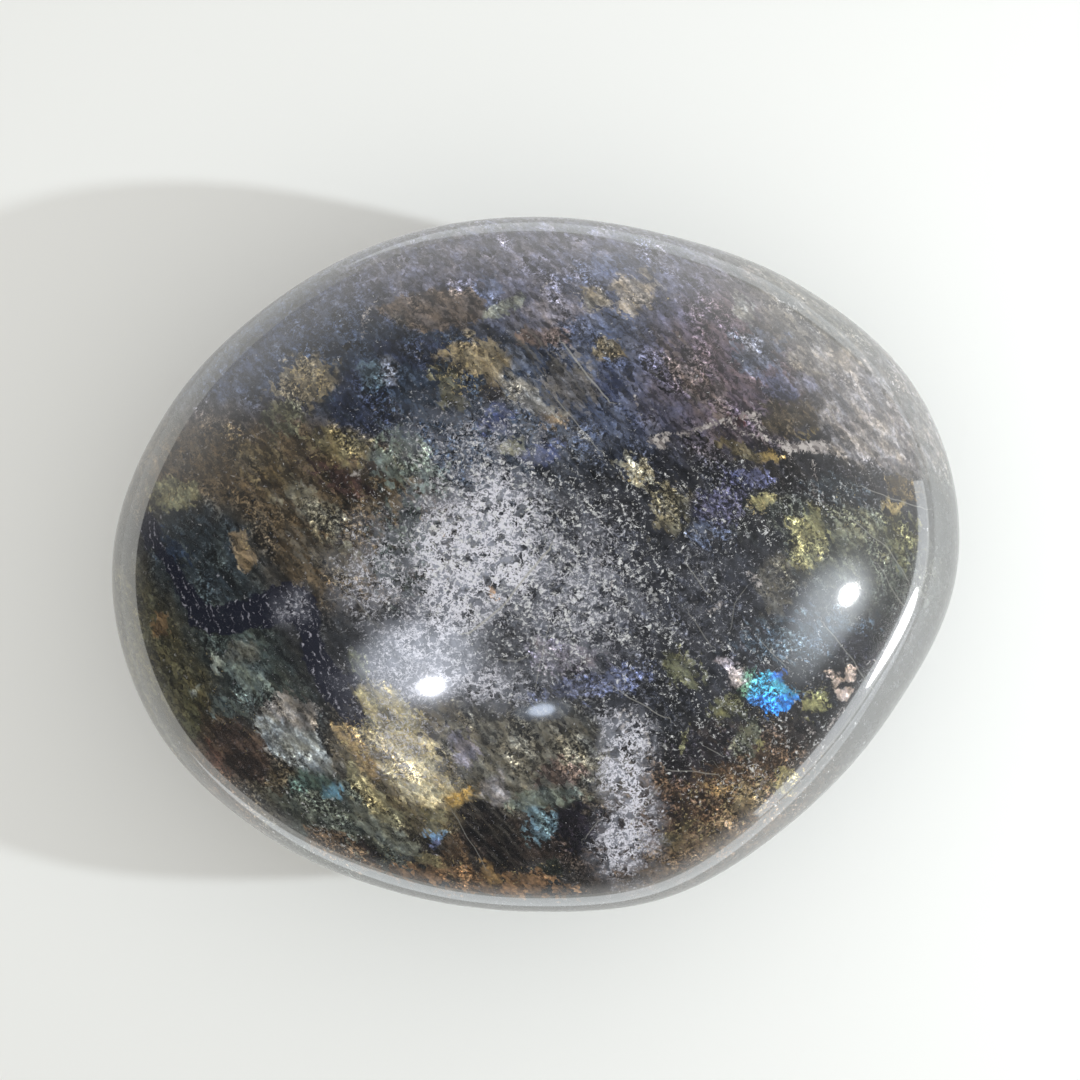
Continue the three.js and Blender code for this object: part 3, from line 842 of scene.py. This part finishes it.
mineral = bpy.data.materials.new("labradorite_ground_and_polished")
mineral.use_nodes = True
tree = mineral.node_tree
tree.nodes.clear()
in_metres = add(tree, "TexCoord")["Object"]
place = add(tree, "VectorMath", {0: in_metres, "Scale": 1 / MM}, operation="SCALE")["Vector"]
tatter = add(
    tree, "TexNoise", {"Vector": place, "Scale": 1 / TATTER_WIDTH, "Detail": 2, "Roughness": 0.6}
)["Color"]
tattered = add(
    tree, "VectorMath", {0: tatter, 1: (TATTER, TATTER, TATTER), 2: place}, operation="MULTIPLY_ADD"
)["Vector"]
crystal_places = add(
    tree,
    "Mapping",
    {"Vector": tattered, "Rotation": (0, 0, CLEAVAGE), "Scale": CRYSTAL_SIZES},
    vector_type="TEXTURE",
)["Vector"]
crystal_cells = add(tree, "TexVoronoi", {"Vector": crystal_places, "Scale": 1})
crystal_picks = add(tree, "SeparateColor", {0: crystal_cells["Color"]})
facet_cells = add(tree, "TexVoronoi", {"Vector": crystal_places, "Scale": FACETS_PER_CRYSTAL})
facet_picks = add(tree, "SeparateColor", {0: facet_cells["Color"]})
streak_places = add(
    tree,
    "Mapping",
    {"Vector": place, "Rotation": (0, 0, CLEAVAGE), "Scale": STREAK_SIZES},
    vector_type="TEXTURE",
)["Vector"]
streaks = add(tree, "TexNoise", {"Vector": streak_places, "Scale": 1, "Detail": 5, "Roughness": 0.7})
streak_parts = add(tree, "SeparateColor", {0: streaks["Color"]})
grain = add(
    tree, "TexNoise", {"Vector": tattered, "Scale": 1 / GRAIN_WIDTH, "Detail": 3, "Roughness": 0.8}
)["Color"]
grain_parts = add(tree, "SeparateColor", {0: grain})
print("crystals are about", CRYSTAL_SIZES[0], "by", CRYSTAL_SIZES[1], "mm")

# %% [markdown]
# Each pattern is 0.5 on average. With that taken off, its strength says by how much it can move an
# edge. The sum of the four is the shift.

# %% Add up the shift of the edges
PATTERN_MEAN = 0.5
CRYSTAL_SHIFT = 0.6
FACET_SHIFT = 0.8
STREAK_SHIFT = 0.6
GRAIN_SHIFT = 0.12

shift = PATTERN_MEAN
for pattern, strength in (
    (crystal_picks[2], CRYSTAL_SHIFT),
    (facet_picks[2], FACET_SHIFT),
    (streaks["Fac"], STREAK_SHIFT),
    (grain_parts[0], GRAIN_SHIFT),
):
    centred = add(tree, "Math", {0: pattern, 1: PATTERN_MEAN}, operation="SUBTRACT")["Value"]
    shift = add(
        tree, "Math", {0: centred, 1: strength, 2: shift}, operation="MULTIPLY_ADD"
    )["Value"]
print("the shift starts from", PATTERN_MEAN)

# %% [markdown]
# The shift is 0.5 on average, and so is the cover at an oval's edge, which makes 1 together. The
# crystals with corners keep their own straight faces, so for them the shift is weakened.

# %% Lay the patches and the crystals over the ground
PATCH_EDGE = {"From Min": 0.88, "From Max": 1.12, "To Max": 0.9}
FACE_SHIFT = 0.5
CRYSTAL_EDGE = {"From Min": 0.64, "From Max": 0.86, "To Max": 0.95}

grounds_paint = add(tree, "Attribute", attribute_name="grounds")["Color"]
patches_paint = add(tree, "Attribute", attribute_name="patches")
patch_value = add(tree, "Math", {0: patches_paint["Alpha"], 1: shift}, operation="ADD")["Value"]
patch_amount = add(tree, "MapRange", {"Value": patch_value, **PATCH_EDGE})["Result"]
with_patches = add(
    tree,
    "Mix",
    {FACTOR: patch_amount, BELOW: grounds_paint, ABOVE: patches_paint["Color"]},
    data_type="RGBA",
)[MIXED]
crystals_paint = add(tree, "Attribute", attribute_name="crystals")
crystal_value = add(
    tree, "Math", {0: shift, 1: FACE_SHIFT, 2: crystals_paint["Alpha"]}, operation="MULTIPLY_ADD"
)["Value"]
crystal_amount = add(tree, "MapRange", {"Value": crystal_value, **CRYSTAL_EDGE})["Result"]
zone_colour = add(
    tree,
    "Mix",
    {FACTOR: crystal_amount, BELOW: with_patches, ABOVE: crystals_paint["Color"]},
    data_type="RGBA",
)[MIXED]
print("the zones take", len(tree.nodes), "nodes")

# %% [markdown]
# No zone of a real feldspar is even. Each crystal has its own tone, and the streaks turn it warmer and
# cooler over a millimetre or two. The fine grain is strong where the stone is mottled and weak in the
# clear zones between, so a broad noise, raised a little by the painted dust, sets its contrast.

# %% Tint the zones and find the mottled ones
WARM_STREAKS = {"From Min": 0.35, "From Max": 0.65}
COOL_TINT = (0.92, 0.98, 1.12, 1)
WARM_TINT = (1.1, 1.01, 0.87, 1)
CRYSTAL_TONES = {"To Min": 0.74, "To Max": 1.1}
CLEAR_WIDTH = 2.5
MOTTLED_BY_DUST = 0.22
GRAIN_CONTRASTS = {"From Min": 0.56, "From Max": 0.72, "To Min": 3, "To Max": 14}

warmth = add(tree, "MapRange", {"Value": streak_parts[1], **WARM_STREAKS})["Result"]
tint = add(
    tree, "Mix", {FACTOR: warmth, BELOW: COOL_TINT, ABOVE: WARM_TINT}, data_type="RGBA"
)[MIXED]
tinted = add(tree, "VectorMath", {0: zone_colour, 1: tint}, operation="MULTIPLY")["Vector"]
gain = add(tree, "MapRange", {"Value": crystal_picks[0], **CRYSTAL_TONES})["Result"]
textures_paint = add(tree, "Attribute", attribute_name="textures")
clearness = add(
    tree, "TexNoise", {"Vector": crystal_places, "Scale": 1 / CLEAR_WIDTH, "Detail": 1, "Roughness": 0.5}
)["Fac"]
mottled = add(
    tree, "Math", {0: textures_paint["Alpha"], 1: MOTTLED_BY_DUST, 2: clearness}, operation="MULTIPLY_ADD"
)["Value"]
grain_contrast = add(tree, "MapRange", {"Value": mottled, **GRAIN_CONTRASTS})["Result"]
print("clear zones are about", CLEAR_WIDTH, "crystals wide")

# %% [markdown]
# With 0.5 added, each pattern is 1 on average. A power of that keeps the middle as it is while it sets
# how much the pattern stands out, and the three powers multiply the colour.

# %% Vary the tone
FACET_CONTRAST = 1.1
STREAK_CONTRAST = 5

for pattern, contrast in (
    (facet_picks[0], FACET_CONTRAST),
    (streaks["Fac"], STREAK_CONTRAST),
    (grain_parts[0], grain_contrast),
):
    lifted = add(tree, "Math", {0: pattern, 1: PATTERN_MEAN}, operation="ADD")["Value"]
    raised = add(tree, "Math", {0: lifted, 1: contrast}, operation="POWER")["Value"]
    gain = add(tree, "Math", {0: gain, 1: raised}, operation="MULTIPLY")["Value"]
colour = add(tree, "VectorMath", {0: tinted, "Scale": gain}, operation="SCALE")["Vector"]
print("and with their tones", len(tree.nodes))

# %% [markdown]
# ## Veins
# The navy vein is a dark mineral that filled a crack, almost black, with broken pale lines across it. A
# wave texture, bent by its own distortion, draws the lines, and the grain and the facets break them.

# %% Measure the navy vein
NAVY_SHIFT = 0.5
NAVY_EDGE = {"From Min": 0.68, "From Max": 0.82, "To Max": 0.95}
HATCH_TURN = math.radians(-17)
HATCH_WAVES = {"Scale": 0.42, "Distortion": 7, "Detail": 2, "Detail Scale": 1.4}
HATCH_EDGE = {"From Min": 0.74, "From Max": 0.95}
HATCH_GRAIN = {"From Min": 0.48, "From Max": 0.62}
HATCH_GROUPS = {"From Min": 0.35, "From Max": 0.5}

veins_paint = add(tree, "Attribute", attribute_name="veins")["Color"]
veins = add(tree, "SeparateColor", {0: veins_paint})
navy_value = add(
    tree, "Math", {0: shift, 1: NAVY_SHIFT, 2: veins[0]}, operation="MULTIPLY_ADD"
)["Value"]
navy_amount = add(tree, "MapRange", {"Value": navy_value, **NAVY_EDGE})["Result"]
hatch_places = add(tree, "Mapping", {"Vector": tattered, "Rotation": (0, 0, HATCH_TURN)})
hatch_wave = add(tree, "TexWave", {"Vector": hatch_places["Vector"], **HATCH_WAVES})["Fac"]
hatch_amount = add(tree, "MapRange", {"Value": hatch_wave, **HATCH_EDGE})["Result"]
for pattern, kept in ((grain_parts[1], HATCH_GRAIN), (facet_picks[1], HATCH_GROUPS)):
    unbroken = add(tree, "MapRange", {"Value": pattern, **kept})["Result"]
    hatch_amount = add(
        tree, "Math", {0: hatch_amount, 1: unbroken}, operation="MULTIPLY"
    )["Value"]
navy_colour = add(
    tree,
    "Mix",
    {FACTOR: hatch_amount, BELOW: linear("0d0f22"), ABOVE: linear("a5a3ae")},
    data_type="RGBA",
)[MIXED]
print("the navy vein's hatching is turned by", round(math.degrees(HATCH_TURN)), "degrees")

# %% [markdown]
# The pale veins are crusts of tiny grains, from a dull to a bright grey. The grain noise cuts them up,
# and each facet has its own grey.

# %% Measure the pale veins
PALE_GRAIN = 1.6
PALE_EDGE = {"From Min": 1.4, "From Max": 1.6, "To Max": 0.92}

pale_value = add(
    tree, "Math", {0: grain_parts[1], 1: PALE_GRAIN, 2: veins[1]}, operation="MULTIPLY_ADD"
)["Value"]
pale_amount = add(tree, "MapRange", {"Value": pale_value, **PALE_EDGE})["Result"]
pale_colour = add(
    tree,
    "Mix",
    {FACTOR: facet_picks[1], BELOW: linear("6a6260"), ABOVE: linear("cfc6c0")},
    data_type="RGBA",
)[MIXED]
print("the veins bring it to", len(tree.nodes), "nodes")

# %% [markdown]
# ## Stripes, cloud, specks and dust
# Cleavage shows as fine parallel stripes. A noise that is stretched ten times along the cleavage draws
# them, and its paint decides where they are seen.

# %% Measure the stripes
STRIPE_SIZES = (4, 0.36, 1.5)
STRIPE_EDGE = {"From Min": 0.5, "From Max": 0.8, "To Max": 0.7}

amounts = add(tree, "SeparateColor", {0: textures_paint["Color"]})
stripe_places = add(
    tree,
    "Mapping",
    {"Vector": tattered, "Rotation": (0, 0, CLEAVAGE), "Scale": STRIPE_SIZES},
    vector_type="TEXTURE",
)["Vector"]
stripe_noise = add(tree, "TexNoise", {"Vector": stripe_places, "Scale": 1, "Detail": 3})["Fac"]
stripe = add(tree, "MapRange", {"Value": stripe_noise, **STRIPE_EDGE})["Result"]
stripe_amount = add(tree, "Math", {0: stripe, 1: amounts[2]}, operation="MULTIPLY")["Value"]
print("stripes are about", STRIPE_SIZES[1], "mm wide")

# %% [markdown]
# The cloud is a thin haze with a web of tiny curled fractures in it. Both are painted paler than the
# mineral is: their colour is partly painted glare, the light that the fractures catch from the lamps. A
# thin line appears wherever a smooth noise passes its middle value, and two such noises together make
# the web. Hairs of real geometry would catch the light as well, but there would be thousands. The grain
# decides where a fracture shows.

# %% Measure the cloud and its painted glare
WEB_WIDTH = 1.5
CLOUD_GLARE_EDGE = {"From Min": 0.42, "From Max": 0.58, "To Min": 0.1, "To Max": 0.88}
FIBRE_EDGE = {"From Min": 0.028, "From Max": 0.018}
FIBRE_GRAIN = 1.8
FIBRE_GATE = {"From Min": 1.1, "From Max": 1.6}

web = add(
    tree, "TexNoise", {"Vector": tattered, "Scale": 1 / WEB_WIDTH, "Detail": 5, "Roughness": 0.65}
)["Color"]
web_parts = add(tree, "SeparateColor", {0: web})
haze = add(tree, "MapRange", {"Value": web_parts[2], **CLOUD_GLARE_EDGE})["Result"]
cloud_haze_and_glare_amount = add(tree, "Math", {0: haze, 1: amounts[0]}, operation="MULTIPLY")["Value"]
fibres = []
for part in web_parts[:2]:
    away = add(tree, "Math", {0: part, 1: PATTERN_MEAN}, operation="SUBTRACT")["Value"]
    distance = add(tree, "Math", {0: away}, operation="ABSOLUTE")["Value"]
    fibres.append(add(tree, "MapRange", {"Value": distance, **FIBRE_EDGE})["Result"])
fibre = add(tree, "Math", {0: fibres[0], 1: fibres[1]}, operation="MAXIMUM")["Value"]
fibre_value = add(
    tree, "Math", {0: grain_parts[1], 1: FIBRE_GRAIN, 2: amounts[0]}, operation="MULTIPLY_ADD"
)["Value"]
fibre_shown = add(tree, "MapRange", {"Value": fibre_value, **FIBRE_GATE})["Result"]
fibre_and_glint_amount = add(tree, "Math", {0: fibre, 1: fibre_shown}, operation="MULTIPLY")["Value"]
print("the web's loops are about", WEB_WIDTH, "mm wide")

# %% [markdown]
# Specks are gold grains, and dust is the fine white sparkle that every polished labradorite has, from
# pits and inclusions. Specks are the highest peaks of the grain. Dust is where the grain and the
# streaks are high together, so it lies in trails. The paint decides how high a peak has to be.

# %% Measure the specks and the dust
SPECKS_BY_PAINT = 0.2
SPECK_EDGE = {"From Min": 0.74, "From Max": 0.82, "To Max": 0.9}
DUST_BY_PAINT = 0.26
DUST_BY_STREAKS = 0.55
DUST_EDGE = {"From Min": 1.06, "From Max": 1.12}
DUST_BRIGHTNESS = {"To Min": 0.15, "To Max": 0.95}

speck_value = add(
    tree, "Math", {0: amounts[1], 1: SPECKS_BY_PAINT, 2: grain_parts[2]}, operation="MULTIPLY_ADD"
)["Value"]
speck_amount = add(tree, "MapRange", {"Value": speck_value, **SPECK_EDGE})["Result"]
dust_value = grain_parts[1]
for pattern, strength in ((textures_paint["Alpha"], DUST_BY_PAINT), (streak_parts[2], DUST_BY_STREAKS)):
    dust_value = add(
        tree, "Math", {0: pattern, 1: strength, 2: dust_value}, operation="MULTIPLY_ADD"
    )["Value"]
dust_brightness = add(tree, "MapRange", {"Value": facet_picks[1], **DUST_BRIGHTNESS})["Result"]
dust_amount = add(
    tree, "MapRange", {"Value": dust_value, **DUST_EDGE, "To Max": dust_brightness}
)["Result"]
print("specks and dust are grains of about", GRAIN_WIDTH, "mm")

# %% [markdown]
# A scratch is where the distance from its line is less than its half width. The small blur on both
# sides of that keeps its edge from breaking into steps.

# %% Measure the scratches
SCRATCH_EDGE = {"From Min": -0.03, "From Max": 0.03, "To Max": 0.75}

scratches_paint = add(tree, "Attribute", attribute_name="scratches")["Color"]
scratch_parts = add(tree, "SeparateColor", {0: scratches_paint})
scratch_distance = add(tree, "Math", {0: scratch_parts[0]}, operation="ABSOLUTE")["Value"]
scratch_depth = add(
    tree, "Math", {0: scratch_parts[2], 1: scratch_distance}, operation="SUBTRACT"
)["Value"]
scratch_here = add(tree, "MapRange", {"Value": scratch_depth, **SCRATCH_EDGE})["Result"]
scratch_amount = add(
    tree, "Math", {0: scratch_here, 1: scratch_parts[1]}, operation="MULTIPLY"
)["Value"]
print("a scratch's edge is blurred over", 2 * SCRATCH_EDGE["From Max"], "mm")

# %% [markdown]
# Now all of them are laid over the mineral, one on top of the other, each with its own colour. The
# order is that of the real stone: what lies in the rock first, what scratched its skin last.

# %% Lay the textures over the mineral
for amount, laid in (
    (navy_amount, navy_colour),
    (pale_amount, pale_colour),
    (stripe_amount, linear("9c9588")),
    # painted glare: the cloud's pale haze and white fibres are partly the light that its fractures catch
    (cloud_haze_and_glare_amount, linear("a9acb9")),
    (fibre_and_glint_amount, linear("efedf6")),
    (speck_amount, linear("c8b483")),
    (dust_amount, linear("ecebe9")),
    (scratch_amount, linear("b8b5ac")),
):
    colour = add(
        tree, "Mix", {FACTOR: amount, BELOW: colour, ABOVE: laid}, data_type="RGBA"
    )[MIXED]
print("the colour takes", len(tree.nodes), "nodes")

# %% [markdown]
# ## The polish
# A lapidary's last wheel leaves two things: a glassy skin, and under it a faint haze from scratches too
# fine to see one by one. The coat is the first, and the rougher lobe under it is the second, which puts
# a wide glow round each glint. Feldspar's own IOR is 1.56. The coat's is higher than any feldspar's,
# because it was matched to how brightly the rim mirrors the ground.

# %% Join the colour to the shader
POLISH = {"Roughness": 0.38, "IOR": 1.56, "Coat Weight": 1, "Coat Roughness": 0.05, "Coat IOR": 3.0}

surface = add(tree, "BsdfPrincipled", {"Base Color": colour, **POLISH})
add(tree, "OutputMaterial", {"Surface": surface["BSDF"]})
stone.data.materials.clear()
stone.data.materials.append(mineral)
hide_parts("labradorite_stone")
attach(stone, "root")
print("the whole shader has", len(tree.nodes), "nodes")

# %% [markdown]
# ## The table
# The stone lies on a plain pale ground. It is a large plane, far wider than the view, so that the rim
# mirrors pale ground all round.

# %% Lay the ground
GROUND_WIDTH = 6000
GROUND_DROP = 0.02

ground_shape = bmesh.new()
bmesh.ops.create_grid(ground_shape, x_segments=1, y_segments=1, size=GROUND_WIDTH / 2 * MM)
bmesh.ops.translate(ground_shape, vec=(0, 0, -GROUND_DROP * MM), verts=ground_shape.verts)
ground_mesh = bpy.data.meshes.new("ground")
ground_shape.to_mesh(ground_mesh)
ground_shape.free()
ground = bpy.data.objects.new("ground", ground_mesh)
bpy.context.scene.collection.objects.link(ground)

matt_white = bpy.data.materials.new("matt_white_ground")
matt_white.use_nodes = True
ground_tree = matt_white.node_tree
ground_tree.nodes.clear()
ground_surface = add(
    ground_tree,
    "BsdfPrincipled",
    {"Base Color": linear("ebebe8"), "Roughness": 0.9, "Specular IOR Level": 0},
)
add(ground_tree, "OutputMaterial", {"Surface": ground_surface["BSDF"]})
ground.data.materials.append(matt_white)
print("the ground is", GROUND_WIDTH * MM, "m wide")

# %% [markdown]
# ## The light
# One small lamp on the right gives the shadow. A wide overhead light, which the polish is not allowed
# to mirror, lifts the shadow.

# %% Hang the lamps
MIDDLE = Vector((0, 0, GIRDLE_HEIGHT))
KEY_AZIMUTH = -5.2
KEY_ELEVATION = 29
KEY_DISTANCE = 400
KEY_TARGET = Vector((80, 0, 0))
COOL_WHITE = (0.88, 0.95, 1)
WARM_WHITE = (1, 0.995, 0.97)
SOFTBOX_HEIGHT = 900


def hang(name, kind, position, target, **settings):
    """Hang a lamp at a position in mm and point it at a target."""
    lamp = bpy.data.lights.new(name, kind)
    for setting, value in settings.items():
        setattr(lamp, setting, value)
    holder = bpy.data.objects.new(name, lamp)
    holder.location = position * MM
    holder.rotation_euler = (target - position).to_track_quat("-Z", "Y").to_euler()
    holder.visible_camera = False
    bpy.context.scene.collection.objects.link(holder)
    return holder


def toward(azimuth, elevation):
    """The direction from the stone to a lamp, from its compass angle and height in degrees."""
    turn = math.radians(azimuth)
    rise = math.radians(elevation)
    return Vector((math.cos(turn) * math.cos(rise), math.sin(turn) * math.cos(rise), math.sin(rise)))


key = hang(
    "key lamp",
    "SPOT",
    MIDDLE + toward(KEY_AZIMUTH, KEY_ELEVATION) * KEY_DISTANCE,
    KEY_TARGET,
    energy=4.2,
    shadow_soft_size=8 * MM,
    spot_size=math.radians(44),
    spot_blend=1,
    color=COOL_WHITE,
)
key.visible_glossy = False

softbox = hang(
    "overhead softbox",
    "SUN",
    Vector((0, 0, SOFTBOX_HEIGHT)),
    MIDDLE,
    energy=2.32,
    angle=math.radians(130),
    color=WARM_WHITE,
)
softbox.visible_glossy = False
print("the key lamp stands", KEY_ELEVATION, "degrees high")

# %% [markdown]
# The glints come from small lamps of their own, each hung where its mirror image falls on the chosen
# place. They light nothing and only show in the polish, so that each can be as bright as it has to be.
# An area lamp of a given brightness needs a power of pi times that brightness times its area.

# %% Hang the glints
GLINTS = [
    # name, across, down, distance, width, height, radiance, colour
    ("key glint", 84.9, 59.3, 600, 44, 50, 250, (0.96, 0.98, 1)),
    ("strip glint", 90.2, 62.6, 160, 62, 18, 12, (1, 1, 1)),
    ("ceiling glint", 43.0, 68.8, 1000, 26, 21, 600, (0.9, 0.92, 1)),
    ("window glint", 54.4, 71.2, 1000, 46, 34, 2.4, (0.72, 0.82, 1)),
    ("window glow", 54.6, 71.0, 1000, 110, 60, 0.3, (0.72, 0.82, 1)),
]


def hang_mirrored(name, shape, position, target, width, height, radiance, colour):
    """Hang a flat lamp that shows in the polish and lights nothing."""
    filled = math.pi / 4 if shape == "ELLIPSE" else 1
    lamp = hang(
        name,
        "AREA",
        position,
        target,
        energy=math.pi * radiance * filled * width * height * MM * MM,
        shape=shape,
        size=width * MM,
        size_y=height * MM,
        color=colour,
    )
    lamp.visible_diffuse = False


for name, across, down, distance, *look in GLINTS:
    point, normal = on_skin(across, down)
    position = point + sight_line(across, down).reflect(normal) * distance
    hang_mirrored(name, "ELLIPSE", position, point, *look)
    print(name, "hangs at", [round(c) for c in position], "mm")

# %% [markdown]
# The rim mirrors what lies outside the frame. Three wide cards flat on the ground make the ground there
# as bright as in a lit room, and a long low card stands for a pale wall on the right.

# %% Brighten the far ground and the wall
FAR_GROUND = [
    # name, middle along X and Y, length, width, radiance
    ("far ground behind", 110, 230, 320, 300, 0.55),
    ("far ground in front", 100, -190, 440, 220, 0.85),
    ("far ground on the right", 345, -30, 260, 340, 0.35),
]
UPWARDS = Vector((0, 0, 100))
WALL_MIDDLE = Vector((500, -170, 40))
WALL_WIDTH = 620
WALL_HEIGHT = 90
WALL_RADIANCE = 1.1
WALL_WHITE = (0.92, 0.97, 1)

for name, along_x, along_y, *size_and_radiance in FAR_GROUND:
    middle = Vector((along_x, along_y, 0))
    hang_mirrored(name, "RECTANGLE", middle, middle + UPWARDS, *size_and_radiance, COOL_WHITE)
wall_look = (WALL_WIDTH, WALL_HEIGHT, WALL_RADIANCE, WALL_WHITE)
hang_mirrored("pale wall on the right", "RECTANGLE", WALL_MIDDLE, MIDDLE, *wall_look)
print("hung", len(FAR_GROUND) + 1, "cards")

# %% [markdown]
# ## The sky
# The sky is what the dome mirrors between the glints: a dark room overhead, and a pale haze low down
# behind the stone and a faint one all round, both brighter towards the right. A picture of a room would
# do the same but is data from elsewhere, so smooth slopes of the direction are used. The camera itself
# sees plain pale grey.

# %% Mix the mirrored sky
HAZE_SIDE = Vector((0.1, 1, 0)).normalized()
HAZE_TURN = {"From Min": -0.1, "From Max": 0.6}
HAZE_HEIGHT = {"From Min": 0.9, "From Max": 0.15}
HAZE_TONES = {"From Min": -0.8, "From Max": 0.8, "To Min": 0.48, "To Max": 0.86}
LOW_HEIGHT = {"From Min": 0.3, "From Max": 0.0}
LOW_TONES = {"From Min": -0.8, "From Max": 0.2, "To Min": 0.1, "To Max": 0.5}

sky = bpy.data.worlds.new("sky")
sky.use_nodes = True
bpy.context.scene.world = sky
sky_tree = sky.node_tree
sky_tree.nodes.clear()
direction = add(sky_tree, "TexCoord")["Generated"]
direction_parts = add(sky_tree, "SeparateXYZ", {0: direction})
facing = add(
    sky_tree, "VectorMath", {0: direction, 1: HAZE_SIDE}, operation="DOT_PRODUCT"
)["Value"]
beyond = add(
    sky_tree, "MapRange", {"Value": facing, **HAZE_TURN}, interpolation_type="SMOOTHSTEP"
)["Result"]
low = add(
    sky_tree, "MapRange", {"Value": direction_parts["Z"], **HAZE_HEIGHT}, interpolation_type="SMOOTHSTEP"
)["Result"]
haze = add(sky_tree, "Math", {0: beyond, 1: low}, operation="MULTIPLY")["Value"]
haze_tone = add(sky_tree, "MapRange", {"Value": direction_parts["X"], **HAZE_TONES})["Result"]
mirrored_sky = add(
    sky_tree, "Mix", {FACTOR: haze, BELOW: linear("303234"), ABOVE: haze_tone}, data_type="RGBA"
)[MIXED]
low_tone = add(sky_tree, "MapRange", {"Value": direction_parts["X"], **LOW_TONES})["Result"]
low_haze = add(
    sky_tree,
    "MapRange",
    {"Value": direction_parts["Z"], **LOW_HEIGHT, "To Max": low_tone},
    interpolation_type="SMOOTHSTEP",
)["Result"]
mirrored_sky = add(
    sky_tree,
    "Mix",
    {FACTOR: 1, BELOW: mirrored_sky, ABOVE: low_haze},
    data_type="RGBA",
    blend_type="LIGHTEN",
)[MIXED]
print("the haze is brightest at", HAZE_TONES["To Max"])

# %% [markdown]
# Two of the glints have a wide soft glow around them. Each is a round blob in the sky, in the direction
# that the chosen place mirrors. Only mirrored rays see it, because it would brighten the ground as well.

# %% Add the soft glows and finish the sky
GLOWS = [
    # across, down, radius in degrees, strength, colour
    (83.4, 60.6, 14, 0.95, (0.84, 0.93, 1)),
    (41.2, 66.6, 9.5, 1.15, (0.82, 0.88, 1)),
]

ray = add(sky_tree, "LightPath")
for across, down, radius, strength, tone in GLOWS:
    point, normal = on_skin(across, down)
    mirrored = sight_line(across, down).reflect(normal)
    closeness = add(
        sky_tree, "VectorMath", {0: direction, 1: mirrored}, operation="DOT_PRODUCT"
    )["Value"]
    blob = {"From Min": math.cos(math.radians(radius)), "From Max": 1, "To Max": strength}
    glow = add(
        sky_tree, "MapRange", {"Value": closeness, **blob}, interpolation_type="SMOOTHERSTEP"
    )["Result"]
    toned = add(sky_tree, "VectorMath", {0: tone, "Scale": glow}, operation="SCALE")["Vector"]
    mirrored_sky = add(
        sky_tree,
        "VectorMath",
        {0: toned, 1: ray["Is Glossy Ray"], 2: mirrored_sky},
        operation="MULTIPLY_ADD",
    )["Vector"]
seen_sky = add(
    sky_tree,
    "Mix",
    {FACTOR: ray["Is Camera Ray"], BELOW: mirrored_sky, ABOVE: linear("e6e7e8")},
    data_type="RGBA",
)[MIXED]
background = add(sky_tree, "Background", {"Color": seen_sky})
add(sky_tree, "OutputWorld", {"Surface": background["Background"]})
bpy.context.scene.view_settings.view_transform = "Standard"
print("the sky has", len(sky_tree.nodes), "nodes")
